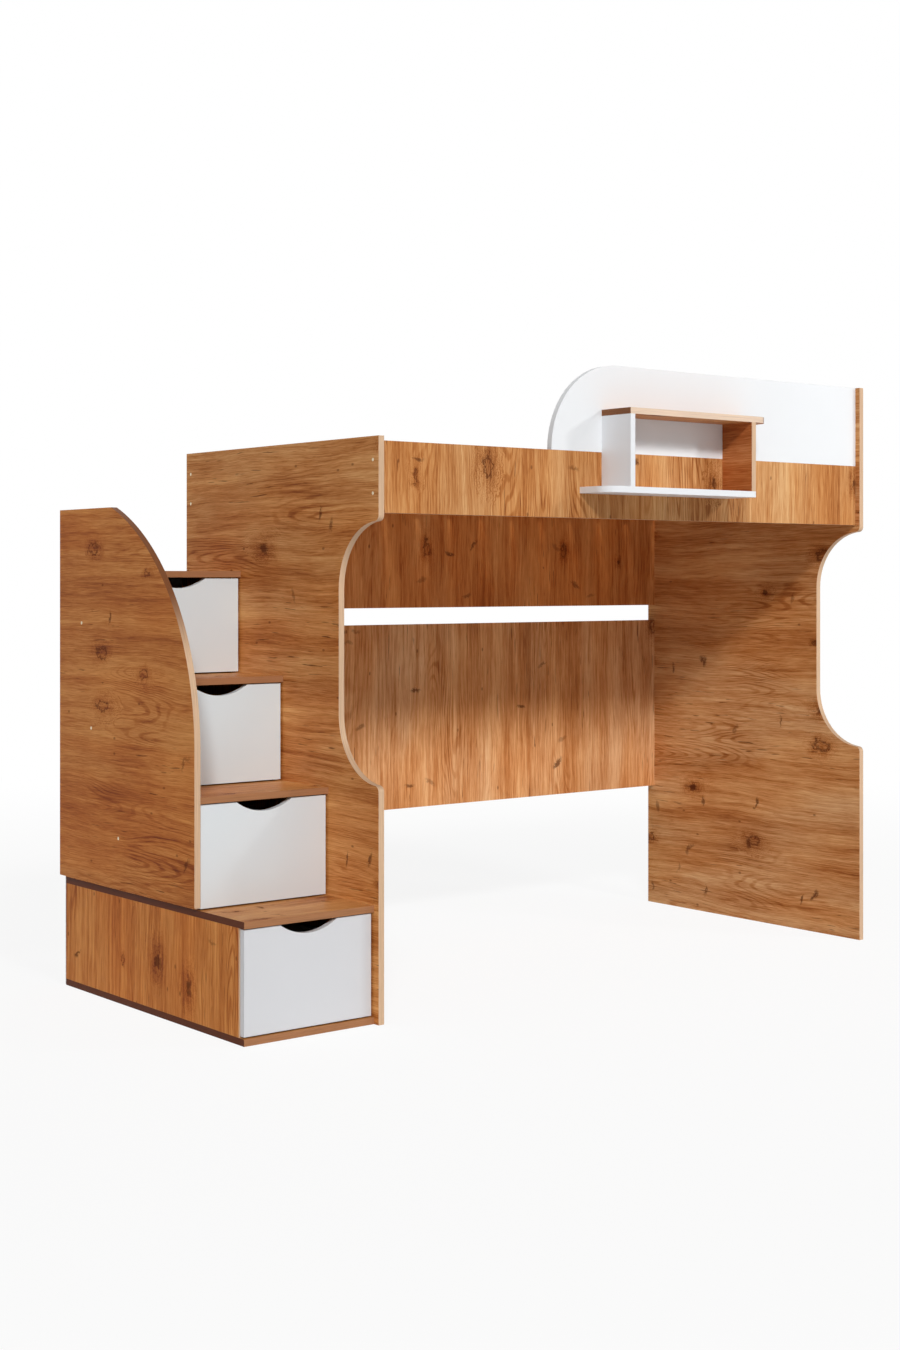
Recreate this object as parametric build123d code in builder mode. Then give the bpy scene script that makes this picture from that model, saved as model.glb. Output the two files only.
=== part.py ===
from build123d import *
import os

# Loft bed for one mattress, with a staircase of drawer boxes at its foot end, open space below
# and a small shelf hung on the front rail. Millimetres. X runs along the bed from foot to head,
# Y from the front to the wall, Z up. The origin is on the floor, in the middle of the footprint.

# Mattress and boards
mattress_length = 1900
mattress_width = 900
mattress_end_play = 4
mattress_side_play = 3
board = 18
sheet = 3

# End panels
foot_panel_height = 1538
cutout_bottom = 622
cutout_height = 694
cutout_depth = 180
cutout_lip_radius = 16

# Rail, guard and back boards
front_setback = 17
rear_setback = 14
rail_drop = 11
rail_height = 190
guard_height = 252
guard_length = 1307
guard_corner_radius = 250
upper_board_height = 457
rear_gap = 54
lower_board_height = 595

# Slatted base
cleat_thickness = 30
cleat_height = 40
cleat_lift = 43
cleat_end_gap = 10
slat_count = 14
slat_width = 118
slat_thickness = 18
slat_side_play = 2
slat_margin = 25
strap_width = 25
strap_thickness = 1.5
strap_inset = 210

# Hanging shelf
shelf_from_foot = 807
shelf_width = 516
shelf_depth = 120
shelf_height = 242
shelf_lift = 70
shelf_left_overhang = 85
shelf_right_overhang = 65
shelf_corner_radius = 50

# Stairs
stairs_width = 400
tread_count = 4
tread_rise = 292
first_tread_setback = 20
first_going = 208
going = 220
back_sheet_inset = 3

# Curved side panel of the stairs
side_panel_top = 1360
side_panel_lift = 7.5
side_curve_foot = 724
side_top_length = 301

# Drawer fronts
front_recess = 5
front_left_gap = 3
front_right_gap = 6
front_bottom_gap = 4
front_top_gap = 2.5
front_back_gap = 2
notch_width = 174
notch_depth = 28

# Drawer boxes and the strips that they run on
drawer_board = 16
drawer_side_gap = 2
drawer_lift = 14
drawer_height = 190
drawer_rear_gap = 30
bottom_lift = 8
bottom_groove_depth = 5
sheet_play = 0.3
runner_lift = 86
runner_height = 17
runner_bite = 8
runner_play = 0.3
runner_front_gap = 12

# Screws and dowels
edge_screw_bite = 32
screw_cover = 6
slat_screw_bite = 12
screw_head_radius = 4.8
screw_head_recess = 0.3
screw_seat_gap = 0.1
screw_radius = 3.1
screw_play = 0.2
screw_end_play = 1
dowel_radius = 4
dowel_length = 30
dowel_play = 0.2
dowel_end_play = 0.5
dowel_cover = 6

# Where the screws and dowels sit
rail_screw_edge = 51
guard_screw_edge = 45
guard_dowel_pitch = 380
cleat_screw_pitch = 560
shelf_screw_inset = 150
shelf_dowel_inset = 25
side_screw_setbacks = (341, 186, 130)
side_screw_lift = 146
stair_screw_inset = 80
stair_screw_lift = 200
strip_screw_inset = 40
box_foot_dowel_inset = 85
box_head_dowel_inset = 50
drawer_dowel_lifts = (40, 150)

# Overall sizes and places that follow
bed_length = mattress_length + mattress_end_play + 2 * board
inner_width = mattress_width + mattress_side_play
bed_depth = front_setback + board + inner_width + board + rear_setback
shelf_front_reach = shelf_depth - front_setback
total_length = board + stairs_width + bed_length
total_depth = shelf_front_reach + bed_depth

stair_panel_x = -total_length / 2
stairs_x = stair_panel_x + board
foot_x = stairs_x + stairs_width
inner_foot_x = foot_x + board
head_x = foot_x + bed_length
inner_head_x = head_x - board
bed_middle_x = (foot_x + head_x) / 2

front_y = shelf_front_reach - total_depth / 2
back_y = front_y + bed_depth
rail_y = front_y + front_setback
rail_inner_y = rail_y + board
back_board_y = rail_inner_y + inner_width
rail_middle_y = rail_y + board / 2
back_middle_y = back_board_y + board / 2
bed_middle_y = (rail_inner_y + back_board_y) / 2

rail_top = foot_panel_height - rail_drop
rail_bottom = rail_top - rail_height
head_panel_height = rail_top + guard_height
upper_board_bottom = rail_top - upper_board_height
lower_board_top = upper_board_bottom - rear_gap
lower_board_bottom = lower_board_top - lower_board_height
cleat_bottom = rail_bottom + cleat_lift
slat_bottom = cleat_bottom + cleat_height
slat_top = slat_bottom + slat_thickness

TO_FOOT = (-1, 0, 0)
TO_HEAD = (1, 0, 0)
TO_FRONT = (0, -1, 0)
TO_WALL = (0, 1, 0)
UP = (0, 0, 1)
DOWN = (0, 0, -1)


# Helpers that work on the piece being built


def block(x_low, x_high, y_low, y_high, z_low, z_high, mode=Mode.ADD):
    """A square-edged board, or a groove, between the given limits."""
    with BuildSketch(Plane.XY.offset(z_low)) as outline:
        with Locations(((x_low + x_high) / 2, (y_low + y_high) / 2)):
            Rectangle(x_high - x_low, y_high - y_low)
    extrude(outline.sketch, amount=z_high - z_low, mode=mode)


def groove(*limits):
    block(*limits, mode=Mode.SUBTRACT)


def countersink(seats, thickness):
    """A screw hole with a seat for the head, through the board that is clamped."""
    with Locations(*seats):
        CounterSinkHole(
            screw_radius + screw_play,
            screw_head_radius + screw_head_recess + screw_seat_gap,
            depth=thickness + screw_end_play,
            counter_sink_angle=90,
        )


def pilot(seats, clamped, length):
    """The hole for the same screw in the board behind the clamped one."""
    with Locations(*along(seats, -clamped)):
        Hole(screw_radius + screw_play, length - clamped + screw_end_play)


def dowel_hole(seats, share):
    """A hole for the share of a dowel that goes into this piece."""
    with Locations(*seats):
        Hole(dowel_radius + dowel_play, share + dowel_end_play)


# Helpers for places and finished pieces


def seat(x, y, z, outward):
    """A place on a surface whose outward normal is given."""
    return Location(Plane(origin=(x, y, z), z_dir=outward))


def along(seats, distance):
    """The same seats, each moved out along its own normal."""
    return [place * Location((0, 0, distance)) for place in seats]


def turned(seats):
    """The same places, each facing the other way."""
    return [place * Location((0, 0, 0), (180, 0, 0)) for place in seats]


def spread(low, high, pitch):
    """Places at a pitch, as many as fit, centred between two limits."""
    count = int((high - low) // pitch) + 1
    start = (low + high - (count - 1) * pitch) / 2
    return [start + i * pitch for i in range(count)]


def copies(*groups):
    """One part with a copy of each group's piece at each of that group's seats."""
    with BuildPart() as result:
        for piece, seats in groups:
            with Locations(*seats):
                add(piece.part)
    return result


def save(piece, name):
    """Label a finished piece and write it."""
    piece.part.label = name
    export_step(piece.part, f"parts/{name}.step")


os.makedirs("parts", exist_ok=True)


# Screws and dowels

edge_screw_length = board + edge_screw_bite
face_screw_length = 2 * board - screw_cover
cleat_screw_length = cleat_thickness + board - screw_cover
slat_screw_length = slat_thickness + slat_screw_bite
strip_thickness = drawer_side_gap + runner_bite
strip_screw_length = strip_thickness + board - screw_cover

half_dowel = dowel_length / 2
board_share = board - dowel_cover
far_share = dowel_length - board_share
drawer_side_share = drawer_board - dowel_cover
drawer_back_share = dowel_length - drawer_side_share


def screw(length):
    """A countersunk screw whose head lies just below Z = 0 and whose shank points down."""
    neck = screw_head_recess + screw_head_radius - screw_radius
    with BuildPart() as piece:
        with BuildSketch(Plane.XZ):
            with BuildLine():
                Polyline(
                    (0, -screw_head_recess),
                    (screw_head_radius, -screw_head_recess),
                    (screw_radius, -neck),
                    (screw_radius, -length),
                    (0, -length),
                    close=True,
                )
            make_face()
        revolve(axis=Axis.Z)
    return piece


with BuildPart() as dowel:
    with BuildSketch():
        Circle(dowel_radius)
    extrude(amount=-dowel_length)


# Joints of the bed frame: screws through the end panels into the ends of the long boards


def panel_seats(joints):
    """Screw seats on the outer faces of both end panels."""
    foot_seats = [seat(foot_x, y, z, TO_FOOT) for y, z in joints]
    return foot_seats + head_seats(joints)


def head_seats(joints):
    return [seat(head_x, y, z, TO_HEAD) for y, z in joints]


rail_heights = (rail_bottom + rail_screw_edge, rail_top - rail_screw_edge)
rail_joints = [(rail_middle_y, z) for z in rail_heights]
upper_joints = [(back_middle_y, z) for z in (upper_board_bottom + rail_screw_edge, *rail_heights)]
lower_heights = (
    lower_board_bottom + rail_screw_edge,
    (lower_board_bottom + lower_board_top) / 2,
    lower_board_top - rail_screw_edge,
)
lower_joints = [(back_middle_y, z) for z in lower_heights]
guard_heights = (rail_top + guard_screw_edge, head_panel_height - guard_screw_edge)
guard_joints = [(rail_middle_y, z) for z in guard_heights]
frame_seats = panel_seats(rail_joints + upper_joints + lower_joints) + head_seats(guard_joints)

guard_x = inner_head_x - guard_length
guard_dowel_xs = spread(guard_x, inner_head_x, guard_dowel_pitch)
guard_dowel_seats = [seat(x, rail_middle_y, rail_top, UP) for x in guard_dowel_xs]


# Joints of the slatted base

cleat_x = inner_foot_x + cleat_end_gap
cleat_end_x = inner_head_x - cleat_end_gap
front_cleat_y = rail_inner_y + cleat_thickness
rear_cleat_y = back_board_y - cleat_thickness
cleat_middle_z = cleat_bottom + cleat_height / 2
cleat_screw_xs = spread(cleat_x, cleat_end_x, cleat_screw_pitch)
front_cleat_seats = [seat(x, front_cleat_y, cleat_middle_z, TO_WALL) for x in cleat_screw_xs]
rear_cleat_seats = [seat(x, rear_cleat_y, cleat_middle_z, TO_FRONT) for x in cleat_screw_xs]

first_slat_x = inner_foot_x + slat_margin + slat_width / 2
last_slat_x = inner_head_x - slat_margin - slat_width / 2
slat_pitch = (last_slat_x - first_slat_x) / (slat_count - 1)
end_slat_xs = (first_slat_x, last_slat_x)
front_slat_seats = [seat(x, rail_inner_y + cleat_thickness / 2, slat_top, UP) for x in end_slat_xs]
rear_slat_seats = [seat(x, back_board_y - cleat_thickness / 2, slat_top, UP) for x in end_slat_xs]


# Joints of the hanging shelf: screws from behind the rail and the guard, dowels at the corners

shelf_x = foot_x + shelf_from_foot
shelf_end_x = shelf_x + shelf_width
shelf_front_y = rail_y - shelf_depth
shelf_bottom = rail_bottom + shelf_lift
shelf_top = shelf_bottom + shelf_height
shelf_side_bottom = shelf_bottom + board
shelf_side_top = shelf_top - board
shelf_side_xs = (shelf_x + board / 2, shelf_end_x - board / 2)
shelf_board_xs = (shelf_x + shelf_screw_inset, shelf_end_x - shelf_screw_inset)
shelf_dowel_ys = (shelf_front_y + shelf_dowel_inset, rail_y - shelf_dowel_inset)


def shelf_seats(xs, z):
    """Screw seats on the inner face of the rail or the guard."""
    return [seat(x, rail_inner_y, z, TO_WALL) for x in xs]


def shelf_dowel_seats(xs, z, outward):
    return [seat(x, y, z, outward) for x in xs for y in shelf_dowel_ys]


shelf_bottom_seats = shelf_seats(shelf_board_xs, shelf_bottom + board / 2)
shelf_top_seats = shelf_seats(shelf_board_xs, shelf_top - board / 2)
low_side_seats = shelf_seats(shelf_side_xs, rail_top - rail_screw_edge)
high_side_seats = shelf_seats(shelf_side_xs, rail_top + guard_screw_edge)
shelf_head_dowels = shelf_dowel_seats(shelf_side_xs, shelf_side_top, UP)
shelf_foot_dowels = shelf_dowel_seats(shelf_side_xs, shelf_side_bottom, DOWN)


# Joints of the stairs: four boxes, each standing on the tread below it

steps = range(tread_count)
box_side_setback = front_recess + board + front_back_gap
stair_back_y = back_y - sheet
stair_side_xs = (stairs_x + board / 2, foot_x - board / 2)
left_inner_x = stairs_x + board
right_inner_x = foot_x - board
strip_back_y = stair_back_y - drawer_rear_gap


def tread_front(step):
    """The front edge of a tread, with the lowest as step 0."""
    if step == 0:
        return front_y + first_tread_setback
    return front_y + first_tread_setback + first_going + (step - 1) * going


def box_floor(step):
    """The top of the board that a stair box stands on."""
    return board + step * tread_rise


def tread_bottom(step):
    return box_floor(step + 1) - board


def box_front(step):
    return tread_front(step) + box_side_setback


def strip_front(step):
    return box_front(step) + runner_front_gap


def strip_bottom(step):
    return box_floor(step) + drawer_lift + runner_lift


def strip_seats(step, x, outward):
    """The screws of one runner strip, on the strip's face."""
    ys = (strip_front(step) + strip_screw_inset, strip_back_y - strip_screw_inset)
    z = strip_bottom(step) + runner_height / 2
    return [seat(x, y, z, outward) for y in ys]


def left_strip_seats(step):
    return strip_seats(step, left_inner_x + strip_thickness, TO_HEAD)


def right_strip_seats(step):
    return strip_seats(step, right_inner_x - strip_thickness, TO_FOOT)


def box_foot_dowels(step, xs):
    """The dowels in the lower ends of a box's sides."""
    ys = (box_front(step) + box_foot_dowel_inset, stair_back_y - box_foot_dowel_inset)
    return [seat(x, y, box_floor(step), DOWN) for x in xs for y in ys]


def box_head_dowels(step, xs):
    """The dowels in the upper ends of a box's sides."""
    ys = (box_front(step) + box_head_dowel_inset, stair_back_y - box_head_dowel_inset)
    return [seat(x, y, tread_bottom(step), UP) for x in xs for y in ys]


def bed_seats(step):
    """The screws that hold a box to the foot end panel, on the inner face of its right side."""
    ys = (box_front(step) + stair_screw_inset, stair_back_y - stair_screw_inset)
    return [seat(right_inner_x, y, box_floor(step) + stair_screw_lift, TO_FOOT) for y in ys]


def side_panel_seat(step):
    """The screw that holds the curved panel to a box, on the panel's outer face."""
    y = back_y - side_screw_setbacks[step - 1]
    return seat(stair_panel_x, y, box_floor(step) + side_screw_lift, TO_FOOT)


all_bed_seats = [place for step in steps for place in bed_seats(step)]
side_panel_seats = [side_panel_seat(step) for step in steps[1:]]


# End panels, each with a deep rounded cut-out in its front edge


def end_panel(x, height):
    with BuildSketch(Plane.YZ.offset(x)) as outline:
        with Locations(((front_y + back_y) / 2, height / 2)):
            Rectangle(bed_depth, height)
        with Locations((front_y, cutout_bottom + cutout_height / 2)):
            SlotOverall(cutout_height, 2 * cutout_depth, rotation=90, mode=Mode.SUBTRACT)
        lips = outline.vertices().group_by(Axis.X)[0].sort_by(Axis.Y)[1:3]
        fillet(lips, cutout_lip_radius)
    extrude(outline.sketch, amount=board)


with BuildPart() as foot_end_panel:
    end_panel(foot_x, foot_panel_height)
    countersink(panel_seats(rail_joints + upper_joints + lower_joints), board)
    pilot(all_bed_seats, board, face_screw_length)
save(foot_end_panel, "foot_end_panel")

with BuildPart() as head_end_panel:
    end_panel(inner_head_x, head_panel_height)
    countersink(frame_seats, board)
save(head_end_panel, "head_end_panel")


# Front rail, guard board and back boards

with BuildPart() as front_rail:
    block(inner_foot_x, inner_head_x, rail_y, rail_inner_y, rail_bottom, rail_top)
    pilot(panel_seats(rail_joints), board, edge_screw_length)
    countersink(shelf_bottom_seats + low_side_seats, board)
    pilot(front_cleat_seats, cleat_thickness, cleat_screw_length)
    dowel_hole(guard_dowel_seats, half_dowel)
save(front_rail, "front_rail")

with BuildPart() as guard_board:
    with BuildSketch(Plane.XZ.offset(-rail_inner_y)) as guard_outline:
        with Locations(((guard_x + inner_head_x) / 2, rail_top + guard_height / 2)):
            Rectangle(guard_length, guard_height)
        free_corner = guard_outline.vertices().group_by(Axis.Y)[-1].sort_by(Axis.X)[0]
        fillet(free_corner, min(guard_corner_radius, 0.99 * guard_height))
    extrude(amount=board)
    pilot(head_seats(guard_joints), board, edge_screw_length)
    countersink(shelf_top_seats + high_side_seats, board)
    dowel_hole(turned(guard_dowel_seats), half_dowel)
save(guard_board, "guard_board")

back_limits = (inner_foot_x, inner_head_x, back_board_y, back_board_y + board)

with BuildPart() as upper_back_board:
    block(*back_limits, upper_board_bottom, rail_top)
    pilot(panel_seats(upper_joints), board, edge_screw_length)
    pilot(rear_cleat_seats, cleat_thickness, cleat_screw_length)
save(upper_back_board, "upper_back_board")

with BuildPart() as lower_back_board:
    block(*back_limits, lower_board_bottom, lower_board_top)
    pilot(panel_seats(lower_joints), board, edge_screw_length)
save(lower_back_board, "lower_back_board")


# Slatted base: two cleats, the slats and their straps

with BuildPart() as slat_cleats:
    block(cleat_x, cleat_end_x, rail_inner_y, front_cleat_y, cleat_bottom, slat_bottom)
    block(cleat_x, cleat_end_x, rear_cleat_y, back_board_y, cleat_bottom, slat_bottom)
    countersink(front_cleat_seats + rear_cleat_seats, cleat_thickness)
    pilot(front_slat_seats + rear_slat_seats, slat_thickness, slat_screw_length)
save(slat_cleats, "slat_cleats")

with BuildPart() as slats:
    with BuildSketch(Plane.XY.offset(slat_bottom)):
        with Locations((bed_middle_x, bed_middle_y)):
            with GridLocations(slat_pitch, 1, slat_count, 1):
                Rectangle(slat_width, inner_width - 2 * slat_side_play)
    extrude(amount=slat_thickness)
    countersink(front_slat_seats + rear_slat_seats, slat_thickness)
save(slats, "slats")

with BuildPart() as slat_straps:
    with BuildSketch(Plane.XY.offset(slat_bottom - strap_thickness)):
        for strap_y in (rail_inner_y + strap_inset, back_board_y - strap_inset):
            with Locations((bed_middle_x, strap_y)):
                Rectangle(last_slat_x - first_slat_x + slat_width, strap_width)
    extrude(amount=strap_thickness)
save(slat_straps, "slat_straps")


# Hanging shelf, its two level boards rounded at their overhanging ends


def shelf_board(x_low, x_high, z_low, overhanging_end):
    with BuildSketch(Plane.XY.offset(z_low)) as outline:
        with Locations(((x_low + x_high) / 2, (shelf_front_y + rail_y) / 2)):
            Rectangle(x_high - x_low, shelf_depth)
        corner = outline.vertices().group_by(Axis.X)[overhanging_end].sort_by(Axis.Y)[0]
        fillet(corner, shelf_corner_radius)
    extrude(outline.sketch, amount=board)


with BuildPart() as shelf_top_board:
    shelf_board(shelf_x, shelf_end_x + shelf_right_overhang, shelf_side_top, -1)
    pilot(shelf_top_seats, board, edge_screw_length)
    dowel_hole(turned(shelf_head_dowels), board_share)
save(shelf_top_board, "shelf_top_board")

with BuildPart() as shelf_bottom_board:
    shelf_board(shelf_x - shelf_left_overhang, shelf_end_x, shelf_bottom, 0)
    pilot(shelf_bottom_seats, board, edge_screw_length)
    dowel_hole(turned(shelf_foot_dowels), board_share)
save(shelf_bottom_board, "shelf_bottom_board")

for shelf_name, side_x in zip(("left", "right"), shelf_side_xs):
    with BuildPart() as shelf_side:
        side_limits = (side_x - board / 2, side_x + board / 2, shelf_front_y, rail_y)
        block(*side_limits, shelf_side_bottom, shelf_side_top)
        pilot(shelf_seats([side_x], rail_top - rail_screw_edge), board, edge_screw_length)
        pilot(shelf_seats([side_x], rail_top + guard_screw_edge), board, edge_screw_length)
        dowel_hole(shelf_dowel_seats([side_x], shelf_side_top, UP), far_share)
        dowel_hole(shelf_dowel_seats([side_x], shelf_side_bottom, DOWN), far_share)
    save(shelf_side, f"shelf_{shelf_name}_side")


# Stair boxes with their treads, from the floor up

with BuildPart() as stair_base_board:
    block(stairs_x, foot_x, tread_front(0), stair_back_y, 0, board)
    dowel_hole(turned(box_foot_dowels(0, stair_side_xs)), board_share)
save(stair_base_board, "stair_base_board")


def box_side(step, x):
    """A side board of a stair box, with its dowel holes."""
    limits = (x - board / 2, x + board / 2, box_front(step), stair_back_y)
    block(*limits, box_floor(step), tread_bottom(step))
    dowel_hole(box_foot_dowels(step, [x]) + box_head_dowels(step, [x]), far_share)


for step in steps:
    left_x, right_x = stair_side_xs
    with BuildPart() as left_side:
        box_side(step, left_x)
        pilot(left_strip_seats(step), strip_thickness, strip_screw_length)
        if step > 0:
            pilot([side_panel_seat(step)], board, face_screw_length)
    save(left_side, f"stair_box_{step + 1}_left_side")

    with BuildPart() as right_side:
        box_side(step, right_x)
        pilot(right_strip_seats(step), strip_thickness, strip_screw_length)
        countersink(bed_seats(step), board)
    save(right_side, f"stair_box_{step + 1}_right_side")

    with BuildPart() as tread:
        block(stairs_x, foot_x, tread_front(step), stair_back_y, tread_bottom(step), box_floor(step + 1))
        dowel_hole(turned(box_head_dowels(step, stair_side_xs)), board_share)
        if step + 1 in steps:
            dowel_hole(turned(box_foot_dowels(step + 1, stair_side_xs)), board_share)
    save(tread, f"stair_tread_{step + 1}")

with BuildPart() as stair_back_panel:
    panel_top = box_floor(tread_count) - back_sheet_inset
    block(stairs_x, foot_x, stair_back_y, back_y, back_sheet_inset, panel_top)
save(stair_back_panel, "stair_back_panel")


# Side panel beside the upper boxes: upright in front, then one wide curve up to a level top

side_front = tread_front(1)
side_bottom = box_floor(1) + side_panel_lift
curve_foot = (side_front, side_curve_foot)
curve_head = (back_y - side_top_length, side_panel_top)

with BuildPart() as stair_side_panel:
    with BuildSketch(Plane.YZ.offset(stair_panel_x)):
        with BuildLine():
            TangentArc(curve_foot, curve_head, tangent=(0, 1))
            Polyline(
                curve_head,
                (back_y, side_panel_top),
                (back_y, side_bottom),
                (side_front, side_bottom),
                curve_foot,
            )
        make_face()
    extrude(amount=board)
    countersink(side_panel_seats, board)
save(stair_side_panel, "stair_side_panel")


# Runner strips, screwed to the inner faces of the box sides

with BuildPart() as drawer_runner_strips:
    for step in steps:
        strip_z = strip_bottom(step)
        strip_limits = (strip_front(step), strip_back_y, strip_z, strip_z + runner_height)
        block(left_inner_x, left_inner_x + strip_thickness, *strip_limits)
        block(right_inner_x - strip_thickness, right_inner_x, *strip_limits)
        countersink(left_strip_seats(step) + right_strip_seats(step), strip_thickness)
save(drawer_runner_strips, "drawer_runner_strips")


# Drawers: the sides are grooved outside for the strips and inside for the bottom sheet

drawer_x = left_inner_x + drawer_side_gap
drawer_end_x = right_inner_x - drawer_side_gap
drawer_inner_x = drawer_x + drawer_board
drawer_inner_end_x = drawer_end_x - drawer_board
drawer_middle_x = (drawer_x + drawer_end_x) / 2
drawer_side_xs = (drawer_x + drawer_board / 2, drawer_end_x - drawer_board / 2)
drawer_back_y = strip_back_y
front_x = stairs_x + front_left_gap
front_end_x = foot_x - front_right_gap
notch_radius = (notch_width**2 / 4 + notch_depth**2) / (2 * notch_depth)
sheet_reach = bottom_groove_depth - sheet_play


def front_dowels(xs, y, bottom):
    """The dowels in the front ends of a drawer's sides."""
    return [seat(x, y, bottom + lift, TO_FRONT) for x in xs for lift in drawer_dowel_lifts]


def back_dowels(x, bottom, outward):
    """The dowels in one end of a drawer's back."""
    y = drawer_back_y - drawer_board / 2
    return [seat(x, y, bottom + lift, outward) for lift in drawer_dowel_lifts]


for step in steps:
    name = f"drawer_{step + 1}"
    face_y = tread_front(step) + front_recess
    box_y = face_y + board
    drawer_bottom = box_floor(step) + drawer_lift
    drawer_top = drawer_bottom + drawer_height
    sheet_z = drawer_bottom + bottom_lift
    groove_heights = (sheet_z - sheet_play, sheet_z + sheet + sheet_play)
    runner_heights = (strip_bottom(step) - runner_play, strip_bottom(step) + runner_height + runner_play)
    left_dowels = back_dowels(drawer_inner_x, drawer_bottom, TO_FOOT)
    right_dowels = back_dowels(drawer_inner_end_x, drawer_bottom, TO_HEAD)

    with BuildPart() as front:
        with BuildSketch(Plane.XZ.offset(-box_y)):
            low = box_floor(step) + front_bottom_gap
            high = tread_bottom(step) - front_top_gap
            with Locations(((front_x + front_end_x) / 2, (low + high) / 2)):
                Rectangle(front_end_x - front_x, high - low)
            with Locations(((front_x + front_end_x) / 2, high - notch_depth + notch_radius)):
                Circle(notch_radius, mode=Mode.SUBTRACT)
        extrude(amount=board)
        groove_ends = (drawer_inner_x - bottom_groove_depth, drawer_inner_end_x + bottom_groove_depth)
        groove(*groove_ends, box_y - bottom_groove_depth, box_y, *groove_heights)
        dowel_hole(turned(front_dowels(drawer_side_xs, box_y, drawer_bottom)), board_share)
    save(front, f"{name}_front")

    with BuildPart() as left_side:
        block(drawer_x, drawer_inner_x, box_y, drawer_back_y, drawer_bottom, drawer_top)
        groove(drawer_x, drawer_x + runner_bite + runner_play, box_y, drawer_back_y, *runner_heights)
        groove(drawer_inner_x - bottom_groove_depth, drawer_inner_x, box_y, drawer_back_y, *groove_heights)
        dowel_hole(front_dowels(drawer_side_xs[:1], box_y, drawer_bottom), far_share)
        dowel_hole(turned(left_dowels), drawer_side_share)
    save(left_side, f"{name}_left_side")

    with BuildPart() as right_side:
        mirror(left_side.part, about=Plane.YZ.offset(drawer_middle_x))
    save(right_side, f"{name}_right_side")

    with BuildPart() as back:
        back_front_y = drawer_back_y - drawer_board
        block(drawer_inner_x, drawer_inner_end_x, back_front_y, drawer_back_y, drawer_bottom, drawer_top)
        back_groove_y = back_front_y + bottom_groove_depth
        groove(drawer_inner_x, drawer_inner_end_x, back_front_y, back_groove_y, *groove_heights)
        dowel_hole(left_dowels + right_dowels, drawer_back_share)
    save(back, f"{name}_back")

    with BuildPart() as bottom_sheet:
        sheet_ends = (drawer_inner_x - sheet_reach, drawer_inner_end_x + sheet_reach)
        block(*sheet_ends, box_y - sheet_reach, back_front_y + sheet_reach, sheet_z, sheet_z + sheet)
    save(bottom_sheet, f"{name}_bottom")

    front_pins = along(front_dowels(drawer_side_xs, box_y, drawer_bottom), board_share)
    back_pins = along(left_dowels + right_dowels, drawer_side_share)
    save(copies((dowel, front_pins + back_pins)), f"{name}_dowels")


# Screws and dowels of the frame, the slatted base, the shelf and the stairs

shelf_screw_seats = shelf_bottom_seats + shelf_top_seats + low_side_seats + high_side_seats
save(copies((screw(edge_screw_length), frame_seats + shelf_screw_seats)), "frame_screws")

cleat_screws = (screw(cleat_screw_length), front_cleat_seats + rear_cleat_seats)
slat_screws = (screw(slat_screw_length), front_slat_seats + rear_slat_seats)
save(copies(cleat_screws, slat_screws), "slatted_base_screws")

guard_pins = along(guard_dowel_seats, half_dowel)
shelf_pins = along(shelf_head_dowels + shelf_foot_dowels, board_share)
save(copies((dowel, guard_pins + shelf_pins)), "frame_dowels")

all_strip_seats = [place for step in steps for place in left_strip_seats(step) + right_strip_seats(step)]
face_screws = (screw(face_screw_length), all_bed_seats + side_panel_seats)
strip_screws = (screw(strip_screw_length), all_strip_seats)
save(copies(face_screws, strip_screws), "stair_screws")

stair_pins = []
for step in steps:
    stair_pins += along(box_foot_dowels(step, stair_side_xs), board_share)
    stair_pins += along(box_head_dowels(step, stair_side_xs), board_share)
save(copies((dowel, stair_pins)), "stair_dowels")
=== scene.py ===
import math
import bpy
from mathutils import Euler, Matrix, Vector

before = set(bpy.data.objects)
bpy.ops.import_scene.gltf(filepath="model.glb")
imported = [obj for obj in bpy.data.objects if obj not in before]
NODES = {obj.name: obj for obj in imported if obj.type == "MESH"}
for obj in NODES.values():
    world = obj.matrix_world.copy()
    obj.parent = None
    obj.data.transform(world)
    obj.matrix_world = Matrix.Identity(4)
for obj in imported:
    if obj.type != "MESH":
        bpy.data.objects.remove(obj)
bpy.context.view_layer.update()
STEPS = range(1, 5)
EDGE_RADIUS = 0.0009
WHITE = (1.0, 1.0, 1.0, 1.0)


def linear(r, g, b):
    """A colour given in display values from 0 to 255, as the linear values that sockets take."""
    def one(v):
        v /= 255
        return v / 12.92 if v <= 0.04045 else ((v + 0.055) / 1.055) ** 2.4
    return (one(r), one(g), one(b), 1.0)


# Node helpers: each returns the output socket of the node that it adds


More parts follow.
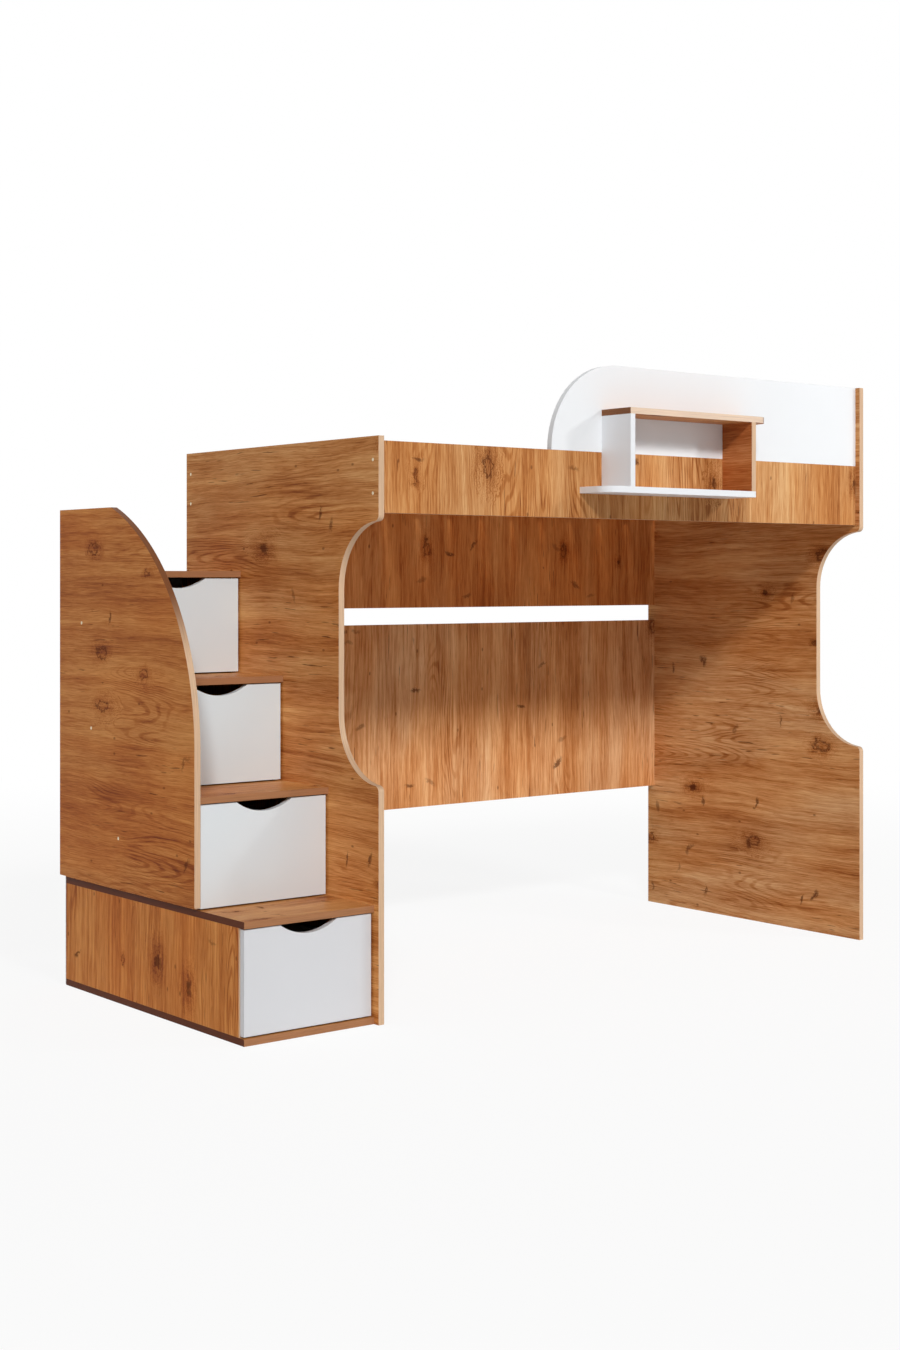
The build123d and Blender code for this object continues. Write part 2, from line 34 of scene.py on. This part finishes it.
class Graph:
    """Builds one node tree. Inputs may be sockets or plain values."""

    def __init__(self, tree):
        self.tree = tree

    def add(self, kind, inputs=None, output=0, **settings):
        made = self.tree.nodes.new(kind)
        for name, value in settings.items():
            setattr(made, name, value)
        for name, value in (inputs or {}).items():
            self.put(made.inputs[name], value)
        return made.outputs[output]

    def put(self, socket, value):
        if isinstance(value, bpy.types.NodeSocket):
            self.tree.links.new(value, socket)
        else:
            socket.default_value = value

    def math(self, operation, a, b=0.0):
        return self.add("ShaderNodeMath", {0: a, 1: b}, operation=operation)

    def centred(self, value, depth):
        """A value round one half, moved to lie round zero and scaled to its depth."""
        return self.math("MULTIPLY", self.math("SUBTRACT", value, 0.5), depth)

    def vector(self, x, y, z):
        return self.add("ShaderNodeCombineXYZ", {0: x, 1: y, 2: z})

    def shift(self, vector, offset):
        return self.add("ShaderNodeVectorMath", {0: vector, 1: offset}, operation="ADD")

    def scale(self, vector, factors):
        return self.add("ShaderNodeVectorMath", {0: vector, 1: factors}, operation="MULTIPLY")

    def split(self, vector):
        made = self.tree.nodes.new("ShaderNodeSeparateXYZ")
        self.put(made.inputs[0], vector)
        return made.outputs

    def noise(self, vector, scale=1.0, detail=2.0, rough=0.5, distortion=0.0):
        inputs = {"Vector": vector, "Scale": scale, "Detail": detail, "Roughness": rough,
                  "Distortion": distortion}
        return self.add("ShaderNodeTexNoise", inputs)

    def cells(self, vector, randomness=1.0):
        """Flat cells, each round its own point: the distance to that point, and the cell's random numbers."""
        made = self.tree.nodes.new("ShaderNodeTexVoronoi")
        made.voronoi_dimensions = "2D"
        self.put(made.inputs["Vector"], vector)
        made.inputs["Scale"].default_value = 1.0
        made.inputs["Randomness"].default_value = randomness
        return made.outputs["Distance"], self.split(made.outputs["Color"])

    def remap(self, value, low, high, to_low=0.0, to_high=1.0):
        inputs = {0: value, 1: low, 2: high, 3: to_low, 4: to_high}
        return self.add("ShaderNodeMapRange", inputs, interpolation_type="SMOOTHSTEP")

    def mix(self, factor, a, b, blend="MIX"):
        made = self.tree.nodes.new("ShaderNodeMix")
        made.data_type = "RGBA"
        made.blend_type = blend
        self.put(made.inputs[0], factor)
        self.put(made.inputs[6], a)
        self.put(made.inputs[7], b)
        return made.outputs[2]

    def ramp(self, value, stops):
        made = self.tree.nodes.new("ShaderNodeValToRGB")
        while len(made.color_ramp.elements) < len(stops):
            made.color_ramp.elements.new(0.5)
        for element, (place, colour) in zip(made.color_ramp.elements, stops):
            element.position = place
            element.color = colour
        self.put(made.inputs[0], value)
        return made.outputs[0]


def group(name, inputs, outputs, build):
    """A node group with the named sockets. build turns the graph and the inputs into the outputs."""
    tree = bpy.data.node_groups.new(name, "ShaderNodeTree")
    for label, kind in inputs:
        tree.interface.new_socket(label, in_out="INPUT", socket_type=kind)
    for label, kind in outputs:
        tree.interface.new_socket(label, in_out="OUTPUT", socket_type=kind)
    entry = tree.nodes.new("NodeGroupInput")
    leave = tree.nodes.new("NodeGroupOutput")
    graph = Graph(tree)
    for index, value in enumerate(build(graph, entry.outputs)):
        graph.put(leave.inputs[index], value)
    return tree


# Oak figure: x runs along the grain, y across it and z into the board, in metres


def oak_figure(g, inputs):
    place = inputs[0]
    # Slow waves bend the streaks a little.
    bend = g.noise(g.scale(place, (1.7, 5.0, 5.0)), detail=3.0)
    swayed = g.shift(place, g.vector(0.0, g.centred(bend, 0.05), 0.0))

    # Knots: sparse points of several sizes, each with growth lines bent round it.
    distance, (chance, size, kind) = g.cells(g.scale(swayed, (3.6, 6.4, 0.0)), randomness=0.95)
    ragged = g.centred(g.noise(place, scale=45.0, detail=4.0, rough=0.7), 0.30)
    distance = g.math("DIVIDE", g.math("ADD", distance, ragged), g.remap(size, 0.0, 1.0, 0.55, 1.35))
    chosen = g.math("GREATER_THAN", chance, 0.70)
    near_knot = g.math("MULTIPLY", g.remap(distance, 0.0, 0.34, 1.0, 0.0), chosen)

    # Growth lines: contour lines of a smooth field that is long along the grain, shown here and there.
    field = g.noise(g.scale(swayed, (0.9, 7.5, 7.5)), detail=1.5, rough=0.45)
    lifted = g.math("ADD", field, g.math("MULTIPLY", near_knot, 0.17))
    wobble = g.noise(g.scale(place, (14.0, 70.0, 70.0)), detail=3.0, rough=0.6)
    rings = g.math("ADD", g.math("MULTIPLY", lifted, 230.0), g.math("MULTIPLY", wobble, 3.2))
    lines = g.remap(g.math("SINE", rings), 0.0, 1.0)
    figured = g.remap(g.noise(g.scale(place, (1.5, 3.6, 3.6)), detail=2.0), 0.50, 0.66)
    lines = g.math("MULTIPLY", lines, g.math("MAXIMUM", figured, near_knot))

    # Streaks of several widths, all faint, and the pores.
    wide = g.noise(g.scale(swayed, (0.7, 12.0, 12.0)), detail=3.0, rough=0.6)
    narrow = g.noise(g.scale(swayed, (2.6, 80.0, 80.0)), detail=4.0, rough=0.65)
    fibre = g.noise(g.scale(swayed, (14.0, 520.0, 520.0)), detail=2.0, rough=0.6)
    patches = g.noise(g.scale(place, (2.2, 4.6, 4.6)), detail=4.0, rough=0.6)
    pores = g.noise(g.scale(swayed, (30.0, 620.0, 620.0)), detail=1.0)
    pores = g.remap(pores, 0.63, 0.74)

    # Knots' hearts: some solid, some only a dark ring, with a soft halo.
    solid = g.remap(distance, 0.02, 0.085, 1.0, 0.0)
    rim = g.remap(g.math("ABSOLUTE", g.math("SUBTRACT", distance, 0.075)), 0.0, 0.028, 0.9, 0.0)
    ringed = g.math("GREATER_THAN", kind, 0.5)
    solid = g.math("MULTIPLY", solid, g.math("SUBTRACT", 1.0, ringed))
    heart = g.math("MULTIPLY", g.math("ADD", solid, g.math("MULTIPLY", rim, ringed)), chosen)
    halo = g.math("MULTIPLY", g.remap(distance, 0.04, 0.24, 1.0, 0.0), chosen)

    # Cracks across the grain: rare ragged strokes that lean this way and that.
    along, across = g.split(place)[:2]
    torn = g.centred(g.noise(place, scale=70.0, detail=4.0, rough=0.7), 0.55)
    leaning = g.math("MULTIPLY", g.noise(place, scale=6.0), 3.0)
    leaning = g.math("ADD", g.math("MULTIPLY", along, 17.0), leaning)
    stretched = g.vector(g.math("ADD", leaning, torn), g.math("MULTIPLY", across, 6.5), 0.0)
    reach, (rare, weight, _) = g.cells(stretched)
    reach = g.math("ADD", reach, g.math("MULTIPLY", g.math("ABSOLUTE", torn), 0.8))
    cracks = g.remap(reach, 0.07, 0.19, g.remap(weight, 0.0, 1.0, 0.45, 1.0), 0.0)
    cracks = g.math("MULTIPLY", cracks, g.math("GREATER_THAN", rare, 0.90))

    # Checks along the grain in some zones, and a few small specks.
    checks = g.noise(g.scale(swayed, (11.0, 190.0, 190.0)), detail=2.0)
    some = g.remap(g.noise(g.scale(place, (2.4, 6.0, 6.0)), detail=1.0), 0.44, 0.60)
    checks = g.math("MULTIPLY", g.remap(checks, 0.65, 0.73), some)
    near_speck, draws = g.cells(g.scale(swayed, (15.0, 26.0, 0.0)))
    few = g.math("GREATER_THAN", draws[0], 0.96)
    specks = g.math("MULTIPLY", g.remap(near_speck, 0.04, 0.13, 0.7, 0.0), few)

    # Everything summed to one tone, 0 dark to 1 light.
    tone = 0.60
    for layer, depth in ((wide, 0.70), (narrow, 0.78), (fibre, 0.80), (patches, 0.60)):
        tone = g.math("ADD", tone, g.centred(layer, depth))
    for layer, depth in ((lines, 0.22), (halo, 0.20), (pores, 0.15)):
        tone = g.math("SUBTRACT", tone, g.math("MULTIPLY", layer, depth))
    dark = g.math("MAXIMUM", g.math("MAXIMUM", heart, cracks), g.math("MAXIMUM", checks, specks))
    height = g.math("SUBTRACT", g.math("MULTIPLY", fibre, 0.6), g.math("MULTIPLY", dark, 0.6))
    return tone, dark, height


OAK = group("oak_figure", [("Place", "NodeSocketVector")],
            [(label, "NodeSocketFloat") for label in ("Tone", "Dark", "Height")], oak_figure)


def new_material(name, colour):
    made = bpy.data.materials.new(name)
    made.use_nodes = True
    made.diffuse_color = colour
    tree = made.node_tree
    tree.nodes.clear()
    output = tree.nodes.new("ShaderNodeOutputMaterial")
    shader = tree.nodes.new("ShaderNodeBsdfPrincipled")
    tree.links.new(shader.outputs[0], output.inputs[0])
    return made, Graph(tree), shader


def bumped(g, height, strength, distance):
    """A bump from height, over edges that look rounded by just under a millimetre."""
    inputs = {"Strength": strength, "Distance": distance, "Height": height}
    inputs["Normal"] = g.add("ShaderNodeBevel", {"Radius": EDGE_RADIUS}, samples=4)
    return g.add("ShaderNodeBump", inputs)


def axis_vector(g, place, along, thick):
    """The grain's frame: x along the grain, y across, z through the board."""
    parts = dict(zip("XYZ", g.split(place)))
    across = next(a for a in "XYZ" if a not in (along, thick))
    return g.vector(parts[along], parts[across], parts[thick])


def oak(name, along, thick, seed, band=(212, 178, 146), tint_with_painted_light=(255, 248, 232), top=1.0):
    """Oak-faced board: grain along one axis, banded edges with their own fine lines.

    band is the edge band's colour. tint multiplies the face: partly the board's own colour, partly painted
    light and shade set board by board. top says how much painted shade the ends and top edges get.
    """
    made, g, shader = new_material(name, linear(176, 122, 80))
    place = g.add("ShaderNodeTexCoord", output=3)
    grain = g.shift(axis_vector(g, place, along, thick), (seed * 1.37, seed * 0.83, seed * 0.41))
    figure = g.tree.nodes.new("ShaderNodeGroup")
    figure.node_tree = OAK
    g.put(figure.inputs[0], grain)
    tone, dark, height = figure.outputs
    face = g.ramp(tone, [
        (0.05, linear(108, 54, 24)),
        (0.30, linear(158, 96, 51)),
        (0.50, linear(191, 130, 80)),
        (0.70, linear(214, 161, 112)),
        (0.95, linear(235, 193, 146)),
    ])
    warm = g.remap(g.noise(g.scale(grain, (1.3, 5.5, 5.5)), detail=2.0), 0.40, 0.60)
    face = g.mix(warm, face, g.mix(1.0, face, linear(255, 244, 228), blend="MULTIPLY"))
    # The tint: partly the board's own colour, partly painted light and shade, darkening shaded boards and
    # lightening lit ones.
    face = g.mix(1.0, face, linear(*tint_with_painted_light), blend="MULTIPLY")
    face = g.mix(g.math("MULTIPLY", dark, 0.78), face, linear(80, 36, 15))
    # The edge bands: fine lines along the edge, whichever way it runs.
    parts = dict(zip("XYZ", g.split(place)))
    others = [parts[a] for a in "XYZ" if a != thick]
    run = g.math("ADD", others[0], others[1])
    strands = g.noise(g.vector(g.math("MULTIPLY", run, 7.0), g.math("MULTIPLY", parts[thick], 420.0), seed),
                      detail=3.0, rough=0.6)
    slow = g.noise(g.vector(g.math("MULTIPLY", run, 2.0), seed, 0.0), detail=2.0)
    shade = g.math("ADD", g.centred(strands, 0.9), g.centred(slow, 0.35))
    edge = g.ramp(g.math("ADD", 0.5, shade), [
        (0.0, linear(*(v * 0.72 for v in band))),
        (0.5, linear(*band)),
        (1.0, linear(*(min(255, v * 1.10) for v in band))),
    ])
    # Painted shade: edge bands turned sideways or upwards are darkened, the more so the larger top is.
    facing = g.split(g.add("ShaderNodeTexCoord", output=1))
    shade_facing = g.math("MAXIMUM", g.math("ABSOLUTE", facing[0]), facing[2])
    painted_shade_band = g.mix(1.0, edge, linear(148, 110, 84), blend="MULTIPLY")
    edge = g.mix(g.remap(shade_facing, 0.32, 0.62, 0.0, top), edge, painted_shade_band)
    on_face = g.remap(g.math("ABSOLUTE", facing["XYZ".index(thick)]), 0.45, 0.55)
    colour = g.mix(on_face, edge, face)
    g.put(shader.inputs["Base Color"], colour)
    rough = g.remap(tone, 0.2, 0.9, 0.50, 0.40)
    g.put(shader.inputs["Roughness"], g.math("ADD", rough, g.math("MULTIPLY", dark, 0.2)))
    shader.inputs["Specular IOR Level"].default_value = 0.08
    g.put(shader.inputs["Normal"], bumped(g, height, 0.35, 0.0006))
    return made


def laminate(name, shade, rough):
    """Smooth white board: a faint texture, slight unevenness and greyer, handled edges."""
    made, g, shader = new_material(name, linear(*shade))
    place = g.add("ShaderNodeTexCoord", output=3)
    grain = g.noise(place, scale=900.0, detail=2.0)
    cloud = g.noise(place, scale=2.2, detail=3.0)
    colour = g.mix(g.remap(cloud, 0.3, 0.7), linear(*(v * 0.985 for v in shade)), linear(*shade))
    worn = g.remap(g.add("ShaderNodeNewGeometry", output="Pointiness"), 0.52, 0.60)
    colour = g.mix(g.math("MULTIPLY", worn, 0.25), colour, linear(*(v * 0.9 for v in shade)))
    g.put(shader.inputs["Base Color"], colour)
    g.put(shader.inputs["Roughness"], g.math("ADD", rough, g.centred(cloud, 0.08)))
    shader.inputs["Specular IOR Level"].default_value = 0.4
    g.put(shader.inputs["Normal"], bumped(g, grain, 0.06, 0.0002))
    return made


def beech(name, along, thick, seed):
    """Planed solid wood of the slats, cleats and strips: pale, with short flecks and soft lines."""
    made, g, shader = new_material(name, linear(214, 183, 142))
    place = g.add("ShaderNodeTexCoord", output=3)
    grain = g.shift(axis_vector(g, place, along, thick), (seed, seed * 0.7, seed * 0.3))
    soft = g.noise(g.scale(grain, (1.4, 30.0, 30.0)), detail=3.0, rough=0.55)
    fine = g.noise(g.scale(grain, (14.0, 380.0, 380.0)), detail=2.0)
    fleck = g.remap(g.noise(g.scale(grain, (90.0, 700.0, 700.0)), detail=1.0), 0.62, 0.72)
    tone = g.math("ADD", g.math("MULTIPLY", soft, 0.75), g.math("MULTIPLY", fine, 0.25))
    colour = g.ramp(tone, [
        (0.25, linear(186, 148, 106)),
        (0.50, linear(214, 181, 140)),
        (0.75, linear(230, 204, 168)),
    ])
    colour = g.mix(g.math("MULTIPLY", fleck, 0.45), colour, linear(158, 112, 74))
    g.put(shader.inputs["Base Color"], colour)
    g.put(shader.inputs["Roughness"], g.remap(fine, 0.3, 0.7, 0.50, 0.62))
    shader.inputs["Specular IOR Level"].default_value = 0.3
    g.put(shader.inputs["Normal"], bumped(g, fine, 0.3, 0.0004))
    return made


def hardboard(name):
    """Thin back and bottom sheet: pale face with pressed fibres."""
    made, g, shader = new_material(name, linear(216, 212, 204))
    place = g.add("ShaderNodeTexCoord", output=3)
    fibres = g.noise(place, scale=260.0, detail=4.0, rough=0.7, distortion=1.2)
    cloud = g.noise(place, scale=6.0, detail=2.0)
    colour = g.mix(g.remap(fibres, 0.3, 0.7), linear(204, 199, 190), linear(222, 219, 212))
    colour = g.mix(g.math("MULTIPLY", cloud, 0.12), colour, linear(190, 182, 170))
    g.put(shader.inputs["Base Color"], colour)
    g.put(shader.inputs["Roughness"], g.remap(fibres, 0.3, 0.7, 0.55, 0.68))
    g.put(shader.inputs["Normal"], bumped(g, fibres, 0.2, 0.0003))
    return made


def zinc(name):
    """Plated screws: bright, with faint turning marks and a warm cast."""
    made, g, shader = new_material(name, linear(214, 196, 160))
    place = g.add("ShaderNodeTexCoord", output=3)
    marks = g.noise(place, scale=1500.0, detail=3.0)
    colour = g.mix(g.remap(marks, 0.35, 0.65), linear(188, 168, 128), linear(236, 224, 196))
    g.put(shader.inputs["Base Color"], colour)
    shader.inputs["Metallic"].default_value = 1.0
    g.put(shader.inputs["Roughness"], g.remap(marks, 0.3, 0.7, 0.24, 0.40))
    g.put(shader.inputs["Normal"], bumped(g, marks, 0.15, 0.0001))
    return made


def webbing(name):
    """Woven strap under the slats."""
    made, g, shader = new_material(name, linear(226, 223, 212))
    x, y = g.split(g.add("ShaderNodeTexCoord", output=3))[:2]
    warp = g.math("SINE", g.math("MULTIPLY", x, 2 * math.pi / 0.0024))
    weft = g.math("SINE", g.math("MULTIPLY", y, 2 * math.pi / 0.0021))
    weave = g.math("MULTIPLY", warp, weft)
    colour = g.mix(g.remap(weave, -1.0, 1.0), linear(196, 191, 178), linear(236, 233, 224))
    g.put(shader.inputs["Base Color"], colour)
    shader.inputs["Roughness"].default_value = 0.85
    g.put(shader.inputs["Normal"], bumped(g, weave, 0.5, 0.0005))
    return made


def dress(made, *names):
    """Gives the CAD nodes their material."""
    for name in names:
        slots = NODES[name].data.materials
        slots.clear()
        slots.append(made)


# Boards: end panels and the stairs' side panel have level grain, rail, back and box sides upright grain
# Each board's tint partly paints in its light and shade: the shaded upper back board is darkened and warmed,
# the lit lower back board lightened.
stair_board = {"band": (166, 116, 80), "tint_with_painted_light": (242, 232, 205)}
dress(oak("oak_foot_end", "Y", "X", 1.3, tint_with_painted_light=(255, 244, 219), top=0.2), "foot_end_panel")
dress(oak("oak_head_end", "Y", "X", 3.0, tint_with_painted_light=(252, 252, 248), top=0.2), "head_end_panel")
dress(oak("oak_stair_side", "Y", "X", 5.0, tint_with_painted_light=(238, 207, 156)), "stair_side_panel")
dress(oak("oak_front_rail", "Z", "Y", 7.0, tint_with_painted_light=(247, 244, 232)), "front_rail")
dress(oak("oak_upper_back", "Z", "Y", 9.0, tint_with_painted_light=(246, 217, 184)), "upper_back_board")
dress(oak("oak_lower_back", "Z", "Y", 11.0, tint_with_painted_light=(262, 264, 270)), "lower_back_board")
dress(oak("oak_shelf_top", "X", "Z", 13.0, band=(228, 202, 178)), "shelf_top_board")
dress(oak("oak_shelf_side", "Y", "X", 15.0, tint_with_painted_light=(230, 198, 176)), "shelf_right_side")
dress(oak("oak_stair_base", "X", "Z", 17.0, **stair_board), "stair_base_board")
for step in STEPS:
    dress(oak(f"oak_tread_{step}", "X", "Z", 18.0 + step, **stair_board), f"stair_tread_{step}")
    dress(oak(f"oak_box_{step}", "Z", "X", 24.0 + step, tint_with_painted_light=(254, 222, 164)),
          f"stair_box_{step}_left_side", f"stair_box_{step}_right_side")

dress(laminate("white_guard", (242, 244, 246), 0.38), "guard_board")
dress(laminate("white_shelf", (238, 240, 243), 0.34), "shelf_left_side", "shelf_bottom_board")

# Drawer fronts: one laminate painted lighter and cooler the higher the step, as painted light against the
# shade and the warm light the oak panels throw on them
front_whites_against_shade = (220, 221, 224), (226, 232, 235), (231, 242, 246), (231, 242, 246)
for step, shade in zip(STEPS, front_whites_against_shade):
    dress(laminate(f"white_front_{step}", shade, 0.26), f"drawer_{step}_front")
dress(laminate("white_drawer_box", (226, 226, 226), 0.42),
      *(f"drawer_{s}_{part}" for s in STEPS for part in ("left_side", "right_side", "back")))
dress(hardboard("hardboard_sheet"), "stair_back_panel", *(f"drawer_{s}_bottom" for s in STEPS))
dress(beech("beech_slats", "Y", "Z", 2.0), "slats")
dress(beech("beech_cleats", "X", "Y", 4.0), "slat_cleats")
dress(beech("beech_strips", "Y", "X", 6.0), "drawer_runner_strips")
dress(beech("beech_dowels", "Z", "X", 8.0), "frame_dowels", "stair_dowels",
      *(f"drawer_{s}_dowels" for s in STEPS))
dress(zinc("zinc_screws"), "frame_screws", "slatted_base_screws", "stair_screws")
dress(webbing("strap_webbing"), "slat_straps")


# Camera at the photograph's place: level, in front and to the left, framed by a small shift
camera_data = bpy.data.cameras.new("photo_camera")
camera_data.sensor_fit = "AUTO"
camera_data.sensor_width = 36.0
camera_data.lens = 51.776
camera_data.shift_y = -0.0712
camera_data.clip_start = 0.05
camera_data.clip_end = 200.0
camera = bpy.data.objects.new("photo_camera", camera_data)
camera.location = (-3.761, -4.511, 1.1637)
camera.rotation_euler = Euler((math.radians(90), 0, math.radians(-38.45)))
bpy.context.scene.collection.objects.link(camera)
bpy.context.scene.camera = camera


# Light: three soft keys above the front, and an even pale sky


def place_lamp(data, strength, centre, toward, distance):
    """Stands a lamp at a distance from a centre, in the direction toward, shining back at it."""
    data.energy = strength
    lamp = bpy.data.objects.new(data.name, data)
    lamp.location = centre + distance * toward
    lamp.rotation_euler = toward.to_track_quat("Z", "Y").to_euler()
    bpy.context.scene.collection.objects.link(lamp)


def sun(name, azimuth, elevation, strength, width):
    """A far lamp. Azimuth is counted from the front, positive to the right."""
    a, e = math.radians(azimuth), math.radians(elevation)
    toward = Vector((math.sin(a) * math.cos(e), -math.cos(a) * math.cos(e), math.sin(e)))
    data = bpy.data.lights.new(name, "SUN")
    data.angle = math.radians(width)
    place_lamp(data, strength, Vector((0, 0, 0)), toward, 6.0)


def seen_rays(g):
    """1 for the rays that show white surroundings, 0 for those that only carry light."""
    rays = g.tree.nodes.new("ShaderNodeLightPath").outputs
    mirrored = g.math("MAXIMUM", rays["Is Glossy Ray"], rays["Is Transmission Ray"])
    return g.math("MAXIMUM", rays["Is Camera Ray"], mirrored)


sun("key_left", -38, 30, 1.25, 8)
sun("key_front", -5, 36, 0.98, 9)

# The right-hand key stands nearer, so it brightens the head end more than the stairs.
shelf_corner = Vector((0.30, -0.50, 1.50))
key_right = bpy.data.lights.new("key_right", "AREA")
key_right.shape = "DISK"
key_right.size = 0.45
place_lamp(key_right, 36.0, shelf_corner, Vector((0.643, -0.648, 0.408)), 4.0)

sky_light = 0.21
world = bpy.data.worlds.new("studio")
bpy.context.scene.world = world
world.use_nodes = True
world.node_tree.nodes.clear()
wg = Graph(world.node_tree)
strength = wg.remap(seen_rays(wg), 0.0, 1.0, sky_light, 1.0)
sky = wg.add("ShaderNodeBackground", {"Color": WHITE, "Strength": strength})
out = world.node_tree.nodes.new("ShaderNodeOutputWorld")
world.node_tree.links.new(sky, out.inputs[0])

# Floor: pale, shaded only softly where the bed stands, white towards the horizon
bpy.ops.mesh.primitive_plane_add(size=120.0, location=(0, 0, -0.0005))
floor = bpy.context.object
floor.name = "floor"
made = bpy.data.materials.new("pale_floor")
made.use_nodes = True
made.node_tree.nodes.clear()
fg = Graph(made.node_tree)
diffuse = fg.add("ShaderNodeBsdfDiffuse", {"Color": (0.88, 0.88, 0.88, 1.0)})
pale = fg.add("ShaderNodeBsdfDiffuse", {"Color": (0.92, 0.92, 0.92, 1.0)})
white = fg.add("ShaderNodeEmission", {"Color": WHITE, "Strength": 1.0})
near = fg.add("ShaderNodeMixShader", {0: 0.88, 1: pale, 2: white})
place = fg.add("ShaderNodeTexCoord", output=3)
far = fg.add("ShaderNodeVectorMath", {0: place}, output=1, operation="LENGTH")
seen = fg.add("ShaderNodeMixShader", {0: fg.remap(far, 2.0, 6.0), 1: near, 2: white})
surface = fg.add("ShaderNodeMixShader", {0: seen_rays(fg), 1: diffuse, 2: seen})
out = made.node_tree.nodes.new("ShaderNodeOutputMaterial")
made.node_tree.links.new(surface, out.inputs[0])
floor.data.materials.append(made)

bpy.context.scene.view_settings.view_transform = "Standard"
